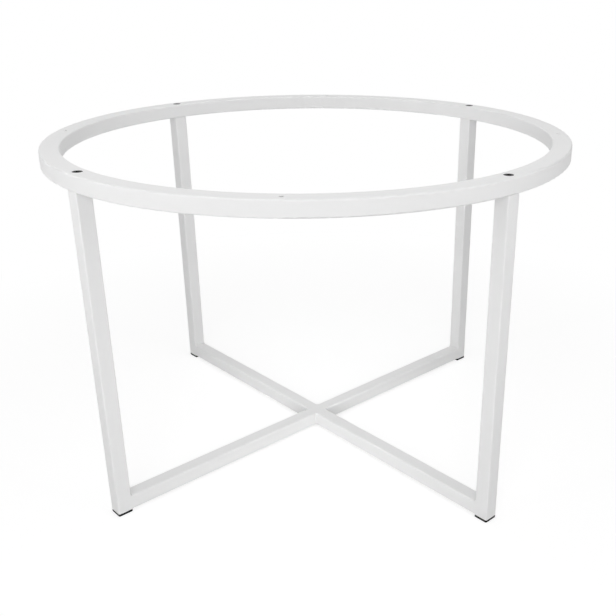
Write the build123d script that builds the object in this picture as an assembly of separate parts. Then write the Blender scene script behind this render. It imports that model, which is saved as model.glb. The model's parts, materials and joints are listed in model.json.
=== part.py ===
from build123d import *

import os
from math import cos, radians, sin, sqrt

# Welded and screwed steel tube frame for a round coffee table.
# Millimetres. The origin is on the floor under the middle of the ring, +Z is up,
# and the front is towards -Y, between two legs.

# Top ring: rectangular tube rolled flat into a circle
ring_diameter = 700.0
ring_width = 25.0
ring_height = 20.0
ring_wall = 1.5

# Legs: square tube, upright under the middle of the ring's tube, deburred round the top end
leg_length = 430.5
leg_size = 20.0
leg_wall = 1.5
leg_deburr = 0.5

# Cross bars: square tube, flush with the lower ends of the legs
bar_size = 20.0
bar_wall = 1.5

# Outside corner radius of all the tubes, which are square inside
tube_corner = 2.0

# Bar ends are coped round the rounded corners they meet, with this fit-up gap
cope_clearance = 0.05

# Fillet welds in the angles over the cross bars' ends and in the corners of the cross
weld_size = 3.0

# Countersunk screws that hold the ring on the legs
screw_diameter = 6.0
screw_head_diameter = 12.0
screw_head_land = 0.4
screw_head_drop = 0.2
screw_reach = 6.2
screw_tip_chamfer = 0.8
socket_across_flats = 4.0
socket_depth = 2.2
countersink_clearance = 0.05
screw_hole_clearance = 0.3

# Threaded plates welded into the leg tops
plate_thickness = 4.0
plate_clearance = 0.1
thread_clearance = 0.05

# Fixing holes for a table top, midway between the legs
fixing_hole_diameter = 5.0
driver_hole_diameter = 10.0

# Plastic foot caps
cap_flange = 3.5
cap_bevel = 0.4
cap_stem_length = 16.0
cap_lead_in = 0.6
cap_core_inset = 1.4
cap_core_wall = 1.6
cap_fin_count = 3
cap_fin_thickness = 1.2
cap_fin_clearance = 0.1

# Corners where the legs stand, anticlockwise seen from above, evenly spaced round the ring
leg_corners = ("back_right", "back_left", "front_left", "front_right")
leg_spacing = 360 / len(leg_corners)
leg_azimuths = {corner: (number + 0.5) * leg_spacing for number, corner in enumerate(leg_corners)}
fixing_azimuths = [number * leg_spacing for number in range(len(leg_corners))]

# Places worked out from the sizes above
ring_middle_radius = (ring_diameter - ring_width) / 2
leg_bottom = cap_flange
leg_top = leg_bottom + leg_length
ring_bottom = leg_top
ring_top = ring_bottom + ring_height
ring_middle = (ring_bottom + ring_top) / 2
bar_middle = leg_bottom + bar_size / 2
leg_inner_face = ring_middle_radius - leg_size / 2
leg_bore = leg_size - 2 * leg_wall


def tube_section(width, height, wall):
    """Hollow section of a rectangular tube with rounded outside corners."""
    outside = RectangleRounded(width, height, tube_corner)
    inside = Rectangle(width - 2 * wall, height - 2 * wall)
    return outside - inside


def at_azimuth(azimuth, radius, height):
    """Location on a circle round the middle of the frame, with X pointing outwards."""
    angle = radians(azimuth)
    place = Pos(radius * cos(angle), radius * sin(angle), height)
    return place * Rot(0, 0, azimuth)


def bored(diameter, low, high, azimuth):
    """Upright cylinder between two heights over the middle of the ring's tube."""
    rod = Cylinder(diameter / 2, high - low, align=(Align.CENTER, Align.CENTER, Align.MIN))
    return at_azimuth(azimuth, ring_middle_radius, low) * rod


def screw_profile(gap):
    """Head radius, shank radius and end of the cone below the head's top, all grown outwards by a gap."""
    head = screw_head_diameter / 2 + gap
    shank = screw_diameter / 2 + gap
    cone_end = -(screw_head_land + head - shank)
    return head, shank, cone_end


def make_ring():
    """Rolled tube with its screw holes over the legs and its table-top holes between them."""
    section = tube_section(ring_width, ring_height, ring_wall)
    section = Plane.XZ * Pos(ring_middle_radius, ring_middle) * section
    ring = revolve(section, axis=Axis.Z)
    head, shank, cone_end = screw_profile(countersink_clearance)
    countersink = Polyline(
        (0, screw_head_drop),
        (head, screw_head_drop),
        (head, -screw_head_land),
        (shank, cone_end),
        (0, cone_end),
        close=True,
    )
    countersink = revolve(Plane.XZ * make_face(countersink), axis=Axis.Z)
    screw_hole = screw_diameter + 2 * screw_hole_clearance
    bottom_wall = ring_bottom + ring_wall
    top_wall = ring_top - ring_wall
    cuts = []
    for azimuth in leg_azimuths.values():
        cuts.append(at_azimuth(azimuth, ring_middle_radius, ring_top - screw_head_drop) * countersink)
        cuts.append(bored(screw_hole, ring_bottom, ring_top, azimuth))
    for azimuth in fixing_azimuths:
        cuts.append(bored(driver_hole_diameter, ring_bottom, bottom_wall, azimuth))
        cuts.append(bored(fixing_hole_diameter, top_wall, ring_top, azimuth))
    return ring - cuts


def make_leg(azimuth):
    """Upright square tube whose faces are square to the radius."""
    leg = extrude(tube_section(leg_size, leg_size, leg_wall), leg_length)
    top_end = leg.faces().sort_by(Axis.Z)[-1]
    leg = chamfer(top_end.outer_wire().edges(), leg_deburr)
    return at_azimuth(azimuth, ring_middle_radius, leg_bottom) * leg


def weld_at(corner, towards, outwards):
    """Concave fillet weld in the angle at a corner between a cross bar and the flush tube that it meets.

    The tube lies towards one direction, and the other points out of the bar's face. The weld runs over
    the full width of both, with its ends rounded like their corners.
    """
    depth = weld_size * (sqrt(2) - 1) + 2 * tube_corner
    section = Pos(weld_size + depth / 2, 0) * RectangleRounded(depth, bar_size, tube_corner)
    weld = revolve(section, axis=Axis.Y, revolution_arc=90)
    return Plane(origin=corner, x_dir=towards, z_dir=outwards) * Pos(-weld_size, 0, weld_size) * weld


def cope_cutter(size):
    """Outside of a square tube grown by the fit-up gap, upright, centred and longer than any joint."""
    grown = size + 2 * cope_clearance
    outline = RectangleRounded(grown, grown, tube_corner + cope_clearance)
    return extrude(outline, bar_size + weld_size, both=True)


def leg_weld(side):
    """Weld on top of a bar along X, against the leg at its +X or -X end."""
    return weld_at((side * leg_inner_face, 0, bar_middle + bar_size / 2), (side, 0, 0), (0, 0, 1))


def leg_cutter(side):
    """Outside of the leg at the +X or -X end of a bar along X."""
    return Pos(side * ring_middle_radius, 0, bar_middle) * cope_cutter(leg_size)


def cross_bar(start, welds, cutters):
    """Square tube along X from start to the leg at +X, with its welds, coped to the tubes that it meets."""
    length = leg_inner_face + tube_corner - start
    outside = extrude(Plane.YZ * RectangleRounded(bar_size, bar_size, tube_corner), length)
    bore_side = bar_size - 2 * bar_wall
    bore = extrude(Plane.YZ * Rectangle(bore_side, bore_side), length)
    place = Pos(start, 0, bar_middle)
    return place * outside + welds - place * bore - cutters


def make_through_bar():
    """Cross bar that runs unbroken from leg to leg."""
    welds = [leg_weld(-1), leg_weld(1)]
    return cross_bar(-leg_inner_face - tube_corner, welds, [leg_cutter(-1), leg_cutter(1)])


def make_half_bar():
    """Cross bar from the side of the through bar to a leg, flush with both."""
    half = bar_size / 2
    welds = [weld_at((half, side * half, bar_middle), (-1, 0, 0), (0, side, 0)) for side in (-1, 1)]
    through_cutter = Pos(0, 0, bar_middle) * Rot(90, 0, 0) * cope_cutter(bar_size)
    return cross_bar(half - tube_corner, welds + [leg_weld(1)], [through_cutter, leg_cutter(1)])


def make_plate(azimuth):
    """Threaded plate in the top of a leg, level with the leg's end."""
    side = leg_bore - 2 * plate_clearance
    outline = Rectangle(side, side) - Circle(screw_diameter / 2 + thread_clearance)
    plate = extrude(outline, plate_thickness)
    return at_azimuth(azimuth, ring_middle_radius, leg_top - plate_thickness) * plate


def make_screw(azimuth):
    """Countersunk socket screw, its head just below the top of the ring."""
    head, shank, cone_end = screw_profile(0)
    head_top = ring_top - screw_head_drop
    tip = leg_top - plate_thickness - screw_reach - head_top
    outline = Polyline(
        (0, 0),
        (head, 0),
        (head, -screw_head_land),
        (shank, cone_end),
        (shank, tip + screw_tip_chamfer),
        (shank - screw_tip_chamfer, tip),
        (0, tip),
        close=True,
    )
    screw = revolve(Plane.XZ * make_face(outline), axis=Axis.Z)
    socket = RegularPolygon(socket_across_flats / 2, 6, major_radius=False)
    screw = screw - extrude(socket, -socket_depth)
    return at_azimuth(azimuth, ring_middle_radius, head_top) * screw


def make_cap(azimuth):
    """Foot cap: a flange the size of the leg on a hollow stem with fins that grip the leg's bore."""
    flange = extrude(RectangleRounded(leg_size, leg_size, tube_corner), cap_flange)
    flange = chamfer(flange.faces().sort_by(Axis.Z)[0].edges(), cap_bevel)
    core_side = leg_bore - 2 * cap_core_inset
    core = Pos(0, 0, cap_flange) * extrude(Rectangle(core_side, core_side), cap_stem_length)
    core = chamfer(core.faces().sort_by(Axis.Z)[-1].edges(), cap_lead_in)
    hollow_side = core_side - 2 * cap_core_wall
    hollow = Pos(0, 0, cap_flange) * extrude(Rectangle(hollow_side, hollow_side), cap_stem_length)
    fin_side = leg_bore - 2 * cap_fin_clearance
    fin = extrude(Rectangle(fin_side, fin_side), cap_fin_thickness)
    fin_pitch = cap_stem_length / (cap_fin_count + 1)
    cap = flange + core
    for number in range(1, cap_fin_count + 1):
        cap = cap + Pos(0, 0, cap_flange + number * fin_pitch - cap_fin_thickness / 2) * fin
    return at_azimuth(azimuth, ring_middle_radius, 0) * (cap - hollow)


def write_parts():
    """Builds every piece and writes one STEP file for each."""
    os.makedirs("parts", exist_ok=True)
    parts = {"top_ring": make_ring()}
    for corner, azimuth in leg_azimuths.items():
        parts["leg_" + corner] = make_leg(azimuth)
        parts["nut_plate_" + corner] = make_plate(azimuth)
        parts["foot_cap_" + corner] = make_cap(azimuth)
    parts["ring_screws"] = Compound(children=[make_screw(azimuth) for azimuth in leg_azimuths.values()])
    parts["cross_bar_through"] = Rot(0, 0, leg_azimuths["back_right"]) * make_through_bar()
    parts["cross_bar_half_front"] = Rot(0, 0, leg_azimuths["front_right"]) * make_half_bar()
    parts["cross_bar_half_back"] = Rot(0, 0, leg_azimuths["back_left"]) * make_half_bar()
    for name, shape in parts.items():
        export_step(shape, "parts/" + name + ".step")


write_parts()
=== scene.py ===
import json
from math import pi, radians, sqrt, tau

import bmesh
import bpy
from bpy.props import FloatProperty, FloatVectorProperty, IntProperty, PointerProperty
from mathutils import Matrix, Vector


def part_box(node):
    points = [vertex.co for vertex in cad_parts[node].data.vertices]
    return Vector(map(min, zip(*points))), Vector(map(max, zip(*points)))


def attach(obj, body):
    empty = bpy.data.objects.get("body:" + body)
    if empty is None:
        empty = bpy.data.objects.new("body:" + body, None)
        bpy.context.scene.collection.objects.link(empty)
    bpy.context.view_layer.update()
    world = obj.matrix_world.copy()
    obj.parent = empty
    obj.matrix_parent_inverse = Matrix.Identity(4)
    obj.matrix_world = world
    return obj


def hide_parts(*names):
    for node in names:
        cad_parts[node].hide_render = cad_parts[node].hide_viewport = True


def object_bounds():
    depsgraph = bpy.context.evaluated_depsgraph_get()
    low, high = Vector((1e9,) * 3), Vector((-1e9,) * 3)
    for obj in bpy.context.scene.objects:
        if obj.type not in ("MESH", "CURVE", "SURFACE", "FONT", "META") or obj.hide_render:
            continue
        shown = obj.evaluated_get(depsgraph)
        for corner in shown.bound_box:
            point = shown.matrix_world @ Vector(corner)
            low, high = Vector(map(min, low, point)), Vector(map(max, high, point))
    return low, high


bl_info = {
    "name": "Round coffee table frame",
    "version": (1, 0, 0),
    "blender": (4, 5, 0),
    "location": "3D View > Sidebar > Table frame",
    "description": "Finishes a white tube frame for a round coffee table and sets it on a plain stage",
    "category": "Object",
}

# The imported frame, in metres, with +Z up and the front towards -Y
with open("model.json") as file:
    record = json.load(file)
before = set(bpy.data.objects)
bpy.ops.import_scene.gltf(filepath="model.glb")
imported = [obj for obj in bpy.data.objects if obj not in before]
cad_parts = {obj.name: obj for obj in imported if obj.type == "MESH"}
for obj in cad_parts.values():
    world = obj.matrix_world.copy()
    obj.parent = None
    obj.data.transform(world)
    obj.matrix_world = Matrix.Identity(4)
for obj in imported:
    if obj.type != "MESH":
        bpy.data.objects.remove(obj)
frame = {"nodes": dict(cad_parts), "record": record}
CAD_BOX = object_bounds()
BODY = "root"
MM = 0.001

CORNERS = ("front_left", "front_right", "back_right", "back_left")
TUBES = (
    "top_ring",
    "cross_bar_through",
    "cross_bar_half_front",
    "cross_bar_half_back",
) + tuple("leg_" + corner for corner in CORNERS)
FOOT_CAPS = tuple("foot_cap_" + corner for corner in CORNERS)
NUT_PLATES = tuple("nut_plate_" + corner for corner in CORNERS)


def slot_colour(slot):
    """Base colour that the record gives a material slot."""
    materials = frame["record"]["materials"]
    return next(material["base_color"] for material in materials if material["slot"] == slot)


def leg_axis(corner):
    """Middle of a leg."""
    low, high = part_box("leg_" + corner)
    return (low + high) / 2


# Settings that a user would change


class CoatSettings(bpy.types.PropertyGroup):
    """White powder coat on the tubes."""

    colour: FloatVectorProperty(
        name="Colour", description="Colour of the cured coat",
        default=slot_colour("white_powder_coat"), subtype="COLOR", min=0, max=1,
    )
    roughness: FloatProperty(
        name="Roughness", description="Satin of the coat",
        default=0.5, min=0, max=1, subtype="FACTOR",
    )
    peel: FloatProperty(
        name="Orange peel", description="Width of the shallow waves in the coat",
        default=2.2 * MM, unit="LENGTH", precision=5,
    )
    peel_depth: FloatProperty(
        name="Peel depth", description="Depth of the shallow waves in the coat",
        default=0.03 * MM, unit="LENGTH", precision=6,
    )
    tube: FloatProperty(
        name="Tube", description="Width of the square tube of the legs and the cross bars",
        default=20 * MM, unit="LENGTH", precision=5,
    )
    weld_ripple: FloatProperty(
        name="Weld ripple", description="Step from one ripple to the next in the welds under the coat",
        default=1.8 * MM, unit="LENGTH", precision=5,
    )
    weld_depth: FloatProperty(
        name="Weld depth", description="Depth of the ripples in the welds",
        default=0.2 * MM, unit="LENGTH", precision=5,
    )
    weld_reach: FloatProperty(
        name="Weld reach", description="How far a weld spreads from its corner",
        default=4.5 * MM, unit="LENGTH", precision=5,
    )


class PlasticSettings(bpy.types.PropertyGroup):
    """Black plastic of the foot caps."""

    colour: FloatVectorProperty(
        name="Colour", description="Colour of the moulded plastic",
        default=slot_colour("black_plastic"), subtype="COLOR", min=0, max=1,
    )
    roughness: FloatProperty(
        name="Roughness", description="Dullness of the plastic",
        default=0.65, min=0, max=1, subtype="FACTOR",
    )
    grain: FloatProperty(
        name="Grain", description="Size of the mould's fine grain",
        default=0.35 * MM, unit="LENGTH", precision=5,
    )


class ScrewSettings(bpy.types.PropertyGroup):
    """Countersunk screws that hold the ring on the legs."""

    colour: FloatVectorProperty(
        name="Colour", description="Colour of the blackened steel",
        default=slot_colour("black_screw_steel"), subtype="COLOR", min=0, max=1,
    )
    turning: FloatProperty(
        name="Turning", description="Step of the turning rings",
        default=0.25 * MM, unit="LENGTH", precision=5,
    )
    head: FloatProperty(
        name="Head", description="Diameter of the head",
        default=12 * MM, unit="LENGTH", precision=5,
    )
    shank: FloatProperty(
        name="Thread", description="Outside diameter of the thread",
        default=6 * MM, unit="LENGTH", precision=5,
    )
    pitch: FloatProperty(
        name="Pitch", description="Step of the thread",
        default=1 * MM, unit="LENGTH", precision=5,
    )
    land: FloatProperty(
        name="Land", description="Straight rim of the head above its cone",
        default=0.4 * MM, unit="LENGTH", precision=5,
    )
    socket: FloatProperty(
        name="Socket", description="Width of the hexagon socket across its flats",
        default=4 * MM, unit="LENGTH", precision=5,
    )
    socket_depth: FloatProperty(
        name="Socket depth", description="Depth of the socket's straight sides",
        default=2.2 * MM, unit="LENGTH", precision=5,
    )
    edge: FloatProperty(
        name="Edge", description="Rounding of the head's rim and of the socket's mouth",
        default=0.15 * MM, unit="LENGTH", precision=5,
    )
    tip: FloatProperty(
        name="Tip", description="Bevel of the thread's end",
        default=0.8 * MM, unit="LENGTH", precision=5,
    )
    socket_side_faces: IntProperty(
        name="Faces", description="Faces along each side of the socket, a sixth of those round the screw",
        default=6, min=2, max=16,
    )


class StageSettings(bpy.types.PropertyGroup):
    """Floor, lamps and camera."""

    floor_radius: FloatProperty(
        name="Floor", description="Radius of the floor",
        default=4.0, unit="LENGTH",
    )
    key_power: FloatProperty(
        name="Key lamp", description="Power of the large soft lamp in front",
        default=14.2, min=0, unit="POWER",
    )
    top_power: FloatProperty(
        name="Top lamp", description="Power of the large soft lamp overhead",
        default=16.8, min=0, unit="POWER",
    )
    left_power: FloatProperty(
        name="Left lamp", description="Power of the narrow lamp on the left of the ring",
        default=0.19, min=0, unit="POWER",
    )
    right_power: FloatProperty(
        name="Right lamp", description="Power of the narrow lamp on the right of the ring",
        default=0.12, min=0, unit="POWER",
    )
    cross_power: FloatProperty(
        name="Cross lamp", description="Power of the narrow low lamp on the cross",
        default=0.11, min=0, unit="POWER",
    )
    room_light: FloatProperty(
        name="Room light", description="Strength of the even light from all round",
        default=0.38, min=0,
    )
    camera_place: FloatVectorProperty(
        name="Camera", description="Place of the camera",
        default=(0.102243, -1.146081, 0.669806), subtype="TRANSLATION", unit="LENGTH", precision=5,
    )
    camera_heading: FloatProperty(
        name="Heading", description="Turn of the camera to the left of straight ahead",
        default=radians(1.317), subtype="ANGLE",
    )
    camera_dip: FloatProperty(
        name="Dip", description="How far the camera looks down",
        default=radians(22.922), subtype="ANGLE",
    )
    camera_roll: FloatProperty(
        name="Roll", description="Tilt of the camera about its own line of sight",
        default=radians(0.117), subtype="ANGLE",
    )
    lens: FloatProperty(
        name="Lens", description="Focal length on a 36 mm sensor",
        default=48.797, unit="CAMERA",
    )
    shift: FloatVectorProperty(
        name="Shift", description="Offset of the picture from the lens axis, as the photograph is cropped",
        default=(-0.0928, 0.00987), size=2, precision=5,
    )


# Shader maths

# Sockets of a Mix node that mixes colours, which share their names with its other sockets
MIX_FACTOR = 0
MIX_FIRST = 6
MIX_SECOND = 7
MIX_RESULT = 2


class Value:
    """A socket in a shader expression, where arithmetic adds Math nodes."""

    def __init__(self, finish, socket):
        self.finish = finish
        self.socket = socket

    def maths(self, operation, *values):
        """Adds one Math node."""
        inputs = dict(enumerate(values))
        return self.finish.node("ShaderNodeMath", {"operation": operation}, inputs)

    def __add__(self, other):
        return self.maths("ADD", self, other)

    def __sub__(self, other):
        return self.maths("SUBTRACT", self, other)

    def __mul__(self, other):
        return self.maths("MULTIPLY", self, other)

    def __radd__(self, other):
        return self.maths("ADD", other, self)

    def __rsub__(self, other):
        return self.maths("SUBTRACT", other, self)

    def __rmul__(self, other):
        return self.maths("MULTIPLY", other, self)

    def __abs__(self):
        return self.maths("ABSOLUTE", self)

    def root(self):
        return self.maths("SQRT", self)

    def sine(self):
        return self.maths("SINE", self)

    def greater(self, other):
        return self.maths("MAXIMUM", self, other)

    def blend(self, low, high):
        """Turns a pattern from 0 to 1 into one from low to high."""
        return low + (high - low) * self

    def between(self, low, high):
        """Rises smoothly from 0 at low to 1 at high, or falls where low is the larger."""
        settings = {"interpolation_type": "SMOOTHSTEP"}
        if low < high:
            ends = {"From Min": low, "From Max": high, "To Min": 0.0, "To Max": 1.0}
        else:
            ends = {"From Min": high, "From Max": low, "To Min": 1.0, "To Max": 0.0}
        return self.finish.node("ShaderNodeMapRange", settings, {"Value": self, **ends})


def distance(aside, along):
    """Distance of a place that lies so far aside and so far along."""
    return (aside * aside + along * along).root()


class Finish:
    """A node tree, of a material or of the world."""

    def __init__(self, owner):
        owner.use_nodes = True
        self.owner = owner
        self.tree = owner.node_tree
        self.tree.nodes.clear()

    def node(self, kind, settings=None, inputs=None, output=0):
        """Adds a node, sets it, then gives its sockets their values or links, and returns an output."""
        node = self.tree.nodes.new(kind)
        for name, setting in (settings or {}).items():
            setattr(node, name, setting)
        for name, value in (inputs or {}).items():
            if isinstance(value, Value):
                self.tree.links.new(value.socket, node.inputs[name])
            else:
                node.inputs[name].default_value = value
        if not node.outputs:
            return None
        return Value(self, node.outputs[output])

    def place(self):
        """Object coordinates of the surface."""
        return self.node("ShaderNodeTexCoord", output="Object")

    def axes(self, vector):
        """The three parts of a vector."""
        return [self.node("ShaderNodeSeparateXYZ", {}, {"Vector": vector}, axis) for axis in "XYZ"]

    def noise(self, place, size, detail=2.0, roughness=0.5):
        """Soft random pattern from 0 to 1 with features of about that size."""
        inputs = {"Vector": place, "Scale": 1 / size, "Detail": detail, "Roughness": roughness}
        return self.node("ShaderNodeTexNoise", {}, inputs)

    def tint(self, colour, amount):
        """A colour made lighter or darker by a factor that varies over the surface."""
        grey = self.node("ShaderNodeCombineColor", {}, {"Red": amount, "Green": amount, "Blue": amount})
        settings = {"data_type": "RGBA", "blend_type": "MULTIPLY", "clamp_result": False}
        inputs = {MIX_FACTOR: 1.0, MIX_FIRST: (*colour, 1.0), MIX_SECOND: grey}
        return self.node("ShaderNodeMix", settings, inputs, MIX_RESULT)

    def bump(self, height, depth, under=None):
        """Normal of a surface raised by a height from 0 to 1, over a normal that is already there."""
        inputs = {"Height": height, "Distance": depth, "Strength": 1.0}
        if under:
            inputs["Normal"] = under
        return self.node("ShaderNodeBump", {}, inputs)

    def mix(self, factor, first, second):
        """The first shader where the factor is 0, and the second where it is 1."""
        return self.node("ShaderNodeMixShader", {}, {0: factor, 1: first, 2: second})

    def surface(self, inputs):
        """Ends the tree with one principled surface."""
        shader = self.node("ShaderNodeBsdfPrincipled", {}, inputs)
        self.node("ShaderNodeOutputMaterial", {}, {"Surface": shader})


def new_finish(name):
    """An empty material."""
    return Finish(bpy.data.materials.new(name))


# Pieces

# Edges sharper than this stay crisp on a smooth piece
SHARP_ANGLE = radians(35)


def add_piece(name, shape, nodes):
    """Makes a mesh object of a finished shape, which takes the place of CAD nodes."""
    mesh = bpy.data.meshes.new(name)
    shape.to_mesh(mesh)
    shape.free()
    mesh.shade_smooth()
    mesh.set_sharp_from_angle(angle=SHARP_ANGLE)
    piece = bpy.data.objects.new(name, mesh)
    bpy.context.scene.collection.objects.link(piece)
    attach(piece, BODY)
    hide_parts(*nodes)
    return piece


def apply_finish(nodes, material):
    """Puts a material in the slots of CAD nodes."""
    for node in nodes:
        for slot in frame["nodes"][node].material_slots:
            slot.material = material


# Screws

# Metric thread, in parts of its pitch: depth, run of a flank, flat at the crest, and how near points merge
THREAD_DEPTH = 0.5413
THREAD_FLANK = 5 / 16
THREAD_CREST = 1 / 8
THREAD_MERGE = 1 / 1000

# Hexagon socket: its sides, and the depth of its coned bottom in parts of its width
SOCKET_SIDES = 6
SOCKET_CONE = 1 / 8

# Faces across a rounded edge of the head
EDGE_FACES = 2

# Turn from one screw's socket to the next
SCREW_TURN = radians(37)


def vertices(items):
    """The vertices in what a mesh operator returns."""
    return [item for item in items if isinstance(item, bmesh.types.BMVert)]


def edges_between(shape, verts):
    """The edges that have both ends among some vertices."""
    ends = set(verts)
    return [edge for edge in shape.edges if ends.issuperset(edge.verts)]


def extend(shape, loop, widen, rise):
    """Extrudes a loop round the axis, widens and lifts the new loop, and returns its edges."""
    verts = vertices(bmesh.ops.extrude_edge_only(shape, edges=loop)["geom"])
    bmesh.ops.scale(shape, vec=(widen, widen, 1), verts=verts)
    bmesh.ops.translate(shape, vec=(0, 0, rise), verts=verts)
    return edges_between(shape, verts)


def circle(shape, sides, radius, height):
    """A loop of edges round the axis."""
    verts = bmesh.ops.create_circle(shape, segments=sides, radius=radius)["verts"]
    bmesh.ops.translate(shape, vec=(0, 0, height), verts=verts)
    return edges_between(shape, verts)


def close(shape, loop, height):
    """Closes a loop with a cone that ends on the axis."""
    verts = vertices(bmesh.ops.extrude_edge_only(shape, edges=loop)["geom"])
    bmesh.ops.pointmerge(shape, verts=verts, merge_co=(0, 0, height))


def add_thread(shape, settings, sides, start, end):
    """Right-hand thread between two heights, and the open loops at its top and its bottom.

    The profile of one pitch is spun down round the axis, and each turn then joins the one above.
    """
    pitch = settings.pitch
    crest = settings.shank / 2
    root = crest - THREAD_DEPTH * pitch
    flank = THREAD_FLANK * pitch
    flat = THREAD_CREST * pitch
    outline = ((root, 0), (crest, flank), (crest, flank + flat), (root, 2 * flank + flat), (root, pitch))
    verts = [shape.verts.new((radius, 0, start - drop)) for radius, drop in outline]
    edges = [shape.edges.new(pair) for pair in zip(verts, verts[1:])]
    turns = int((start - end) / pitch) - 1
    bmesh.ops.spin(
        shape, geom=verts + edges, axis=(0, 0, 1), dvec=(0, 0, -pitch / sides),
        angle=-turns * tau, steps=turns * sides,
    )
    bmesh.ops.remove_doubles(shape, verts=shape.verts[:], dist=THREAD_MERGE * pitch)
    middle = (start + end) / 2
    loops = [edge for edge in shape.edges if edge.is_boundary]
    top = [edge for edge in loops if edge.verts[0].co.z > middle]
    bottom = [edge for edge in loops if edge.verts[0].co.z < middle]
    return top, bottom


def screw_shape(settings, length):
    """One screw on the Z axis, with its head's top at zero and its thread downwards."""
    shape = bmesh.new()
    sides = SOCKET_SIDES * settings.socket_side_faces
    head = settings.head / 2
    root = settings.shank / 2 - THREAD_DEPTH * settings.pitch
    cone = head - root
    thread_start = -(settings.land + cone + settings.pitch)
    thread_end = -(length - settings.tip)
    top, bottom = add_thread(shape, settings, sides, thread_start, thread_end)

    rim = circle(shape, sides, head, 0)
    side = extend(shape, rim, 1, -settings.land)
    neck = extend(shape, side, root / head, -cone)
    bmesh.ops.bridge_loops(shape, edges=neck + top)

    end = circle(shape, sides, root, thread_end)
    bmesh.ops.bridge_loops(shape, edges=bottom + end)
    end = extend(shape, end, 1 - settings.tip / root, -settings.tip)
    close(shape, end, -length)

    made = set(shape.edges)
    corners = circle(shape, SOCKET_SIDES, settings.socket / sqrt(3), 0)
    bmesh.ops.subdivide_edges(shape, edges=corners, cuts=settings.socket_side_faces - 1)
    mouth = [edge for edge in shape.edges if edge not in made]
    bmesh.ops.triangle_fill(shape, use_beauty=True, edges=mouth + rim)
    floor = extend(shape, mouth, 1, -settings.socket_depth)
    close(shape, floor, -settings.socket_depth - SOCKET_CONE * settings.socket)
    bmesh.ops.bevel(
        shape, geom=mouth + rim, offset=settings.edge, offset_type="OFFSET",
        affect="EDGES", segments=EDGE_FACES, profile=0.5, material=-1,
    )
    bmesh.ops.recalc_face_normals(shape, faces=shape.faces[:])
    return shape


def make_screws(settings):
    """The four screws over the legs, each turned as it happened to come tight."""
    low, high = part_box("ring_screws")
    shape = screw_shape(settings, high.z - low.z)
    first = shape.verts[:] + shape.edges[:] + shape.faces[:]
    for number, corner in enumerate(CORNERS):
        place = leg_axis(corner)
        copy = vertices(bmesh.ops.duplicate(shape, geom=first)["geom"])
        turn = Matrix.Rotation(number * SCREW_TURN, 3, "Z")
        bmesh.ops.rotate(shape, matrix=turn, verts=copy)
        bmesh.ops.translate(shape, vec=(place.x, place.y, high.z), verts=copy)
    bmesh.ops.delete(shape, geom=first, context="VERTS")
    return add_piece("threaded_ring_screws", shape, ("ring_screws",))


# Finishes, where a pair of numbers is the range that a pattern is spread over

# Weld ripples: how far they wander, in radians of their wave, and over how many of them
RIPPLE_WANDER = 5
RIPPLE_RUN = 2


def weld_ripples(finish, place, settings):
    """Height of the welds' ripples: over the bars' ends at the legs, and in the corners of the cross.

    The bars lie on the diagonals, so one expression serves all four: out runs along the nearest bar
    from the middle, and aside is the distance to that bar's middle line.
    """
    x, y, z = finish.axes(place)
    diagonal = sqrt(0.5)
    out = (abs(x) + abs(y)) * diagonal
    aside = (abs(x) - abs(y)) * diagonal
    half = settings.tube / 2
    leg_face = leg_axis(CORNERS[0]).xy.length - half
    bar_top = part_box("leg_" + CORNERS[0])[0].z + settings.tube
    wander = RIPPLE_WANDER * finish.noise(place, RIPPLE_RUN * settings.weld_ripple)
    wave = tau / settings.weld_ripple
    across = (aside * wave + wander).sine()
    upright = (z * wave + wander).sine()
    at_leg = distance(out - leg_face, z - bar_top)
    at_cross = distance(out - half, abs(aside) - half)
    reach = settings.weld_reach
    return across * at_leg.between(reach, reach / 2) + upright * at_cross.between(reach, reach / 2)


# Powder coat: its grain and its clouds, in parts of the orange peel's width and depth
COAT_GRAIN = 1 / 6
COAT_GRAIN_DEPTH = 1 / 8
COAT_CLOUD = 60

# Powder coat: how its patterns change its shade and its roughness, and how strongly it reflects
COAT_CLOUD_SHADE = (0.985, 1.005)
COAT_PEEL_SHADE = (-0.003, 0.003)
COAT_CLOUD_DULLING = (-0.04, 0.04)
COAT_GRAIN_DULLING = (-0.025, 0.025)
COAT_SPECULAR = 0.3


def powder_coat(settings):
    """Satin white powder coat: a faint orange peel, with the welds' ripples showing through it."""
    finish = new_finish("white_powder_coat")
    place = finish.place()
    peel = finish.noise(place, settings.peel, detail=1.0)
    grain = finish.noise(place, COAT_GRAIN * settings.peel)
    cloud = finish.noise(place, COAT_CLOUD * settings.peel, detail=3.0)
    normal = finish.bump(weld_ripples(finish, place, settings), settings.weld_depth)
    normal = finish.bump(peel, settings.peel_depth, normal)
    normal = finish.bump(grain, COAT_GRAIN_DEPTH * settings.peel_depth, normal)
    shade = cloud.blend(*COAT_CLOUD_SHADE) + peel.blend(*COAT_PEEL_SHADE)
    dulling = cloud.blend(*COAT_CLOUD_DULLING) + grain.blend(*COAT_GRAIN_DULLING)
    finish.surface({
        "Base Color": finish.tint(settings.colour, shade),
        "Roughness": settings.roughness + dulling,
        "Specular IOR Level": COAT_SPECULAR,
        "Normal": normal,
    })
    return finish.owner


# Moulded plastic: depth of its grain and size of its scuffs, in parts of the grain's size
PLASTIC_GRAIN_DEPTH = 0.1
PLASTIC_SCUFF = 18

# Moulded plastic: how its scuffs change its shade and its roughness, and how strongly it reflects
PLASTIC_SHADE = (0.3, 0.7)
PLASTIC_DULLING = (-0.1, 0.1)
PLASTIC_SPECULAR = 0.08


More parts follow.
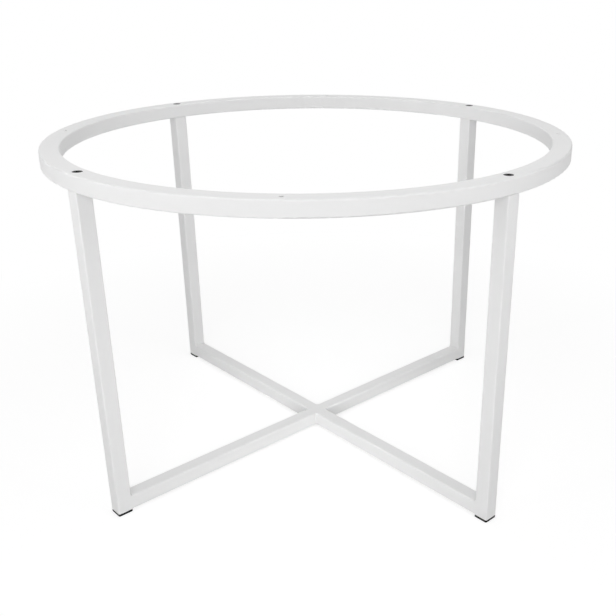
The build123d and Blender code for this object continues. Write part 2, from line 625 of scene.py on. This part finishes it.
def moulded_plastic(settings):
    """Black plastic with a fine moulded grain and faint scuffs."""
    finish = new_finish("black_plastic")
    place = finish.place()
    grain = finish.noise(place, settings.grain, roughness=0.6)
    scuff = finish.noise(place, PLASTIC_SCUFF * settings.grain, detail=3.0)
    finish.surface({
        "Base Color": finish.tint(settings.colour, scuff.blend(*PLASTIC_SHADE)),
        "Roughness": settings.roughness + scuff.blend(*PLASTIC_DULLING),
        "Specular IOR Level": PLASTIC_SPECULAR,
        "Normal": finish.bump(grain, PLASTIC_GRAIN_DEPTH * settings.grain),
    })
    return finish.owner


# Zinc plating: size of its mottling, and the shades and roughness that the mottling gives it
ZINC_MOTTLE = 4 * MM
ZINC_SHADE = (0.85, 1.15)
ZINC_ROUGHNESS = (0.3, 0.5)


def plain_steel():
    """Zinc-plated steel, faintly mottled."""
    finish = new_finish("plain_steel")
    mottle = finish.noise(finish.place(), ZINC_MOTTLE, detail=4.0, roughness=0.6)
    finish.surface({
        "Base Color": finish.tint(slot_colour("plain_steel"), mottle.blend(*ZINC_SHADE)),
        "Metallic": 1.0,
        "Roughness": mottle.blend(*ZINC_ROUGHNESS),
    })
    return finish.owner


# Blackened steel: depth of its turning rings, in parts of their step, and how much they roughen it
TURNING_DEPTH = 1 / 20
TURNING_ROUGHNESS = 0.04

# Blackened steel: its mottled shade and roughness, how metallic it is, and how strongly it reflects
BLACKING_SHADE = (0.25, 0.75)
BLACKING_ROUGHNESS = (0.45, 0.57)
BLACKING_METAL = 0.15
BLACKING_SPECULAR = 0.06


def black_steel(settings):
    """Blackened steel of the screws, with fine turning rings round each head."""
    finish = new_finish("black_screw_steel")
    place = finish.place()
    x, y, _ = finish.axes(place)
    axis = leg_axis("back_right")
    radius = distance(abs(x) - axis.x, abs(y) - axis.y)
    rings = (radius * (tau / settings.turning)).sine()
    mottle = finish.noise(place, settings.pitch, detail=3.0)
    finish.surface({
        "Base Color": finish.tint(settings.colour, mottle.blend(*BLACKING_SHADE)),
        "Metallic": BLACKING_METAL,
        "Specular IOR Level": BLACKING_SPECULAR,
        "Roughness": mottle.blend(*BLACKING_ROUGHNESS) + TURNING_ROUGHNESS * rings,
        "Normal": finish.bump(rings, TURNING_DEPTH * settings.turning),
    })
    return finish.owner


# Stage

# Lamps: places, widths, and beams of the narrow ones
KEY_PLACE = (0, -2.0, 1.2)
KEY_WIDTH = 1.2
TOP_PLACE = (0, 0, 2.4)
TOP_WIDTH = 2.0
LEFT_PLACE = (-1.3, -1.0, 0.7)
RIGHT_PLACE = (1.3, -0.8, 0.7)
CROSS_PLACE = (0, -1.6, 0.35)
NARROW_WIDTH = 0.4
SIDE_BEAM = radians(30)
CROSS_BEAM = radians(18)

# Floor: sides of its outline, gap under the feet, and its colour to the lamps
FLOOR_SIDES = 64
FLOOR_GAP = 0.1 * MM
FLOOR_COLOUR = (0.92, 0.92, 0.92, 1)

# Shadow on the floor: radius where it starts to fade, radius where it is gone, and its colour and glow
SHADOW_RADIUS = 0.45
SHADOW_END = 1.0
SHADOW_COLOUR = (0.35, 0.35, 0.35, 1)
SHADOW_GLOW = 0.733

WHITE = (1, 1, 1, 1)

# Width of the camera's sensor, in millimetres like the lens
SENSOR_WIDTH = 36


def aim(place, target):
    """Turn of a lamp at a place that shines at a target."""
    return (Vector(target) - Vector(place)).to_track_quat("-Z", "Y").to_matrix().to_4x4()


def ring_over(corner):
    """The top of the ring over a leg."""
    axis = leg_axis(corner)
    return Vector((axis.x, axis.y, CAD_BOX[1].z))


def add_lamp(name, place, target, width, power, spread=pi):
    """A square soft lamp, out of the camera's sight, whose beam may be narrowed."""
    data = bpy.data.lights.new(name, "AREA")
    data.shape = "SQUARE"
    data.size = width
    data.energy = power
    data.spread = spread
    lamp = bpy.data.objects.new(name, data)
    bpy.context.scene.collection.objects.link(lamp)
    lamp.matrix_world = Matrix.Translation(place) @ aim(place, target)
    lamp.visible_camera = False


def hang_lamps(settings):
    """Two broad lamps on the whole frame, and narrow ones on both sides of the ring and on the cross."""
    middle = (CAD_BOX[0] + CAD_BOX[1]) / 2
    left = ring_over("front_left")
    right = ring_over("front_right")
    crossing = Vector((0, 0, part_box("cross_bar_through")[0].z))
    add_lamp("key_lamp", KEY_PLACE, middle, KEY_WIDTH, settings.key_power)
    add_lamp("top_lamp", TOP_PLACE, middle, TOP_WIDTH, settings.top_power)
    add_lamp("left_lamp", LEFT_PLACE, left, NARROW_WIDTH, settings.left_power, SIDE_BEAM)
    add_lamp("right_lamp", RIGHT_PLACE, right, NARROW_WIDTH, settings.right_power, SIDE_BEAM)
    add_lamp("cross_lamp", CROSS_PLACE, crossing, NARROW_WIDTH, settings.cross_power, CROSS_BEAM)


def seen_rays(finish):
    """1 for the rays that show a background to the eye, straight, mirrored or through glass."""
    camera = finish.node("ShaderNodeLightPath", output="Is Camera Ray")
    mirror = finish.node("ShaderNodeLightPath", output="Is Glossy Ray")
    through = finish.node("ShaderNodeLightPath", output="Is Transmission Ray")
    return camera.greater(mirror).greater(through)


def light_room(strength):
    """Even light from all round, seen as white."""
    world = bpy.data.worlds.new("room")
    finish = Finish(world)
    lit = finish.node("ShaderNodeBackground", {}, {"Color": WHITE, "Strength": strength})
    white = finish.node("ShaderNodeBackground", {}, {"Color": WHITE, "Strength": 1.0})
    mixed = finish.mix(seen_rays(finish), lit, white)
    finish.node("ShaderNodeOutputWorld", {}, {"Surface": mixed})
    bpy.context.scene.world = world


def white_floor():
    """Pale floor that looks white, apart from the shadow near the object."""
    finish = new_finish("white_floor")
    x, y, _ = finish.axes(finish.place())
    near = distance(x, y).between(SHADOW_END, SHADOW_RADIUS)
    plain = finish.node("ShaderNodeBsdfDiffuse", {}, {"Color": FLOOR_COLOUR})
    shaded = finish.node("ShaderNodeBsdfDiffuse", {}, {"Color": SHADOW_COLOUR})
    glow = finish.node("ShaderNodeEmission", {}, {"Color": WHITE, "Strength": SHADOW_GLOW})
    white = finish.node("ShaderNodeEmission", {}, {"Color": WHITE, "Strength": 1.0})
    shadowed = finish.node("ShaderNodeAddShader", {}, {0: shaded, 1: glow})
    seen = finish.mix(near, white, shadowed)
    mixed = finish.mix(seen_rays(finish), plain, seen)
    finish.node("ShaderNodeOutputMaterial", {}, {"Surface": mixed})
    return finish.owner


def lay_floor(radius):
    """A round floor under the feet."""
    mesh = bpy.data.meshes.new("floor")
    shape = bmesh.new()
    bmesh.ops.create_circle(shape, cap_ends=True, segments=FLOOR_SIDES, radius=radius)
    bmesh.ops.translate(shape, vec=(0, 0, CAD_BOX[0].z - FLOOR_GAP), verts=shape.verts)
    shape.to_mesh(mesh)
    shape.free()
    floor = bpy.data.objects.new("floor", mesh)
    bpy.context.scene.collection.objects.link(floor)
    mesh.materials.append(white_floor())


def place_camera(settings):
    """The photograph's camera."""
    data = bpy.data.cameras.new("camera")
    data.sensor_width = SENSOR_WIDTH
    data.lens = settings.lens
    data.shift_x, data.shift_y = settings.shift
    camera = bpy.data.objects.new("camera", data)
    bpy.context.scene.collection.objects.link(camera)
    heading = Matrix.Rotation(settings.camera_heading, 4, "Z")
    tilt = Matrix.Rotation(pi / 2 - settings.camera_dip, 4, "X")
    roll = Matrix.Rotation(settings.camera_roll, 4, "Z")
    camera.matrix_world = Matrix.Translation(settings.camera_place) @ heading @ tilt @ roll
    bpy.context.scene.camera = camera


# Operators


class TABLEFRAME_OT_coat_tubes(bpy.types.Operator):
    """Coat the ring, the legs and the cross bars white"""

    bl_idname = "table_frame.coat_tubes"
    bl_label = "Coat the tubes"

    def execute(self, context):
        apply_finish(TUBES, powder_coat(context.scene.frame_coat))
        return {"FINISHED"}


class TABLEFRAME_OT_finish_foot_caps(bpy.types.Operator):
    """Give the foot caps their black plastic"""

    bl_idname = "table_frame.finish_foot_caps"
    bl_label = "Finish the foot caps"

    def execute(self, context):
        apply_finish(FOOT_CAPS, moulded_plastic(context.scene.frame_plastic))
        return {"FINISHED"}


class TABLEFRAME_OT_finish_nut_plates(bpy.types.Operator):
    """Give the threaded plates in the legs their plain steel"""

    bl_idname = "table_frame.finish_nut_plates"
    bl_label = "Finish the nut plates"

    def execute(self, context):
        apply_finish(NUT_PLATES, plain_steel())
        return {"FINISHED"}


class TABLEFRAME_OT_make_screws(bpy.types.Operator):
    """Make the screws that hold the ring on the legs"""

    bl_idname = "table_frame.make_screws"
    bl_label = "Make the screws"

    def execute(self, context):
        settings = context.scene.frame_screws
        piece = make_screws(settings)
        piece.data.materials.append(black_steel(settings))
        return {"FINISHED"}


class TABLEFRAME_OT_set_stage(bpy.types.Operator):
    """Lay the floor, hang the lamps and place the camera"""

    bl_idname = "table_frame.set_stage"
    bl_label = "Set the stage"

    def execute(self, context):
        settings = context.scene.frame_stage
        lay_floor(settings.floor_radius)
        light_room(settings.room_light)
        hang_lamps(settings)
        place_camera(settings)
        context.scene.view_settings.view_transform = "Standard"
        return {"FINISHED"}


class TABLEFRAME_PT_sidebar(bpy.types.Panel):
    """Steps and settings of the table frame"""

    bl_idname = "TABLEFRAME_PT_sidebar"
    bl_label = "Table frame"
    bl_space_type = "VIEW_3D"
    bl_region_type = "UI"
    bl_category = "Table frame"

    def draw(self, context):
        for operator in OPERATORS:
            self.layout.operator(operator.bl_idname)
        for name, group in SETTINGS.items():
            box = self.layout.box()
            for setting in group.__annotations__:
                box.prop(getattr(context.scene, name), setting)


SETTINGS = {
    "frame_coat": CoatSettings,
    "frame_plastic": PlasticSettings,
    "frame_screws": ScrewSettings,
    "frame_stage": StageSettings,
}
OPERATORS = (
    TABLEFRAME_OT_coat_tubes,
    TABLEFRAME_OT_finish_foot_caps,
    TABLEFRAME_OT_finish_nut_plates,
    TABLEFRAME_OT_make_screws,
    TABLEFRAME_OT_set_stage,
)
CLASSES = tuple(SETTINGS.values()) + OPERATORS + (TABLEFRAME_PT_sidebar,)


def register():
    """Adds the classes, and their settings to the scene."""
    for cls in CLASSES:
        bpy.utils.register_class(cls)
    for name, group in SETTINGS.items():
        setattr(bpy.types.Scene, name, PointerProperty(type=group))


def unregister():
    """Takes the settings and the classes away again."""
    for name in SETTINGS:
        delattr(bpy.types.Scene, name)
    for cls in reversed(CLASSES):
        bpy.utils.unregister_class(cls)


def main():
    """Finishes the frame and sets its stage."""
    register()
    bpy.ops.table_frame.coat_tubes()
    bpy.ops.table_frame.finish_foot_caps()
    bpy.ops.table_frame.finish_nut_plates()
    bpy.ops.table_frame.make_screws()
    bpy.ops.table_frame.set_stage()


if __name__ == "__main__":
    main()
